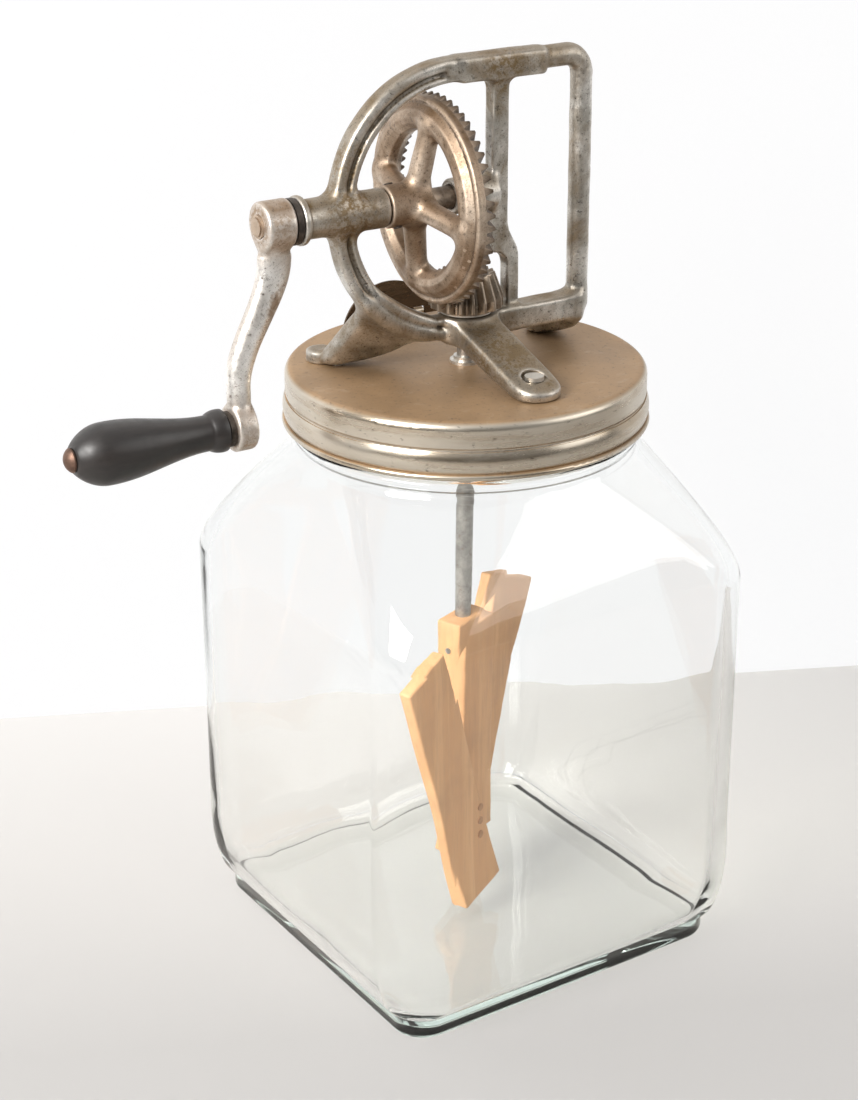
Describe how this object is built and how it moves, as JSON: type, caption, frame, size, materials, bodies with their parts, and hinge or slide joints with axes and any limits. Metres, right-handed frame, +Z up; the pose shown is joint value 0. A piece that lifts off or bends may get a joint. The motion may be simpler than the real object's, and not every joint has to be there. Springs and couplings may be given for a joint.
{
  "type": "glass jar butter churn",
  "caption": "Square glass jar churn: a screw cap carries a cast frame with a hand crank, bevel gears and a wooden dasher, for churning cream into butter.",
  "frame": {"origin": "middle of the jar's flat foot, on the table", "axes": "+Z up along the dasher's rod; +X along the crank shaft, from the crank towards the frame's hand grip; -Y is the side with the front leg"},
  "size_m": [0.2359, 0.162, 0.3372],
  "materials": {
    "glass": "clear pressed glass",
    "seal_rubber": "red-brown rubber",
    "tin": "worn tin plate with a brown bloom",
    "steel": "dull bright steel",
    "dark_tin": "stained brown tin plate",
    "frame_iron": "old silver-grey casting with tan stains",
    "dark_steel": "oily black steel",
    "crank_iron": "bright silver casting with rust spots",
    "rivet_copper": "dull copper brown",
    "black_wood": "black lacquered turned wood",
    "gear_iron": "brown-grey casting",
    "rod_steel": "mottled grey steel",
    "wood": "bare pale wood"
  },
  "bodies": {
    "jar": {"jar": "glass"},
    "seal": {"sealing_ring": "seal_rubber"},
    "cap_unit": {"cap": "tin", "strainer_screen": "steel", "flap_bracket": "tin", "flap_pin": "steel", "gear_frame": "frame_iron", "frame_rivets": "steel", "shaft_ferrule": "steel"},
    "flap": {"pour_flap": "dark_tin"},
    "crank": {"crank_shaft": "steel", "crank_washer": "dark_steel", "crank_arm": "crank_iron", "grip_spindle": "rivet_copper", "grip_washer": "dark_steel", "drive_wheel": "gear_iron", "wheel_pin": "steel"},
    "crank_grip": {"grip": "black_wood"},
    "dasher": {"pinion": "gear_iron", "pinion_pin": "steel", "thrust_washer": "steel", "dasher_shaft": "rod_steel", "dasher_hub": "wood", "dasher_pin": "steel", "front_blade": "wood", "back_blade": "wood", "blade_nails": "steel"}
  },
  "joints": [
    {"name": "cap_lift", "type": "slide", "parent": "jar", "child": "seal", "axis": [0, 0, 1], "range_m": [0, 0.235]},
    {"name": "cap_turn", "type": "hinge", "parent": "seal", "child": "cap_unit", "pos_m": [0, 0, 0.227], "axis": [0, 0, 1], "range_deg": [0, 450]},
    {"name": "flap_swing", "type": "hinge", "parent": "cap_unit", "child": "flap", "pos_m": [0, 0.055, 0.2289], "axis": [1, 0, 0], "range_deg": [0, 98]},
    {"name": "crank_turn", "type": "hinge", "parent": "cap_unit", "child": "crank", "pos_m": [0, 0, 0.28805], "axis": [1, 0, 0], "continuous": true},
    {"name": "dasher_spin", "type": "hinge", "parent": "cap_unit", "child": "dasher", "pos_m": [0, 0, 0.25], "axis": [0, 0, 1], "continuous": true},
    {"name": "grip_spin", "type": "hinge", "parent": "crank", "child": "crank_grip", "pos_m": [-0.12, 0, 0.21945], "axis": [1, 0, 0], "continuous": true}
  ],
  "couplings": [
    {"joint": "dasher_spin", "follows": "crank_turn", "ratio": -3}
  ]
}
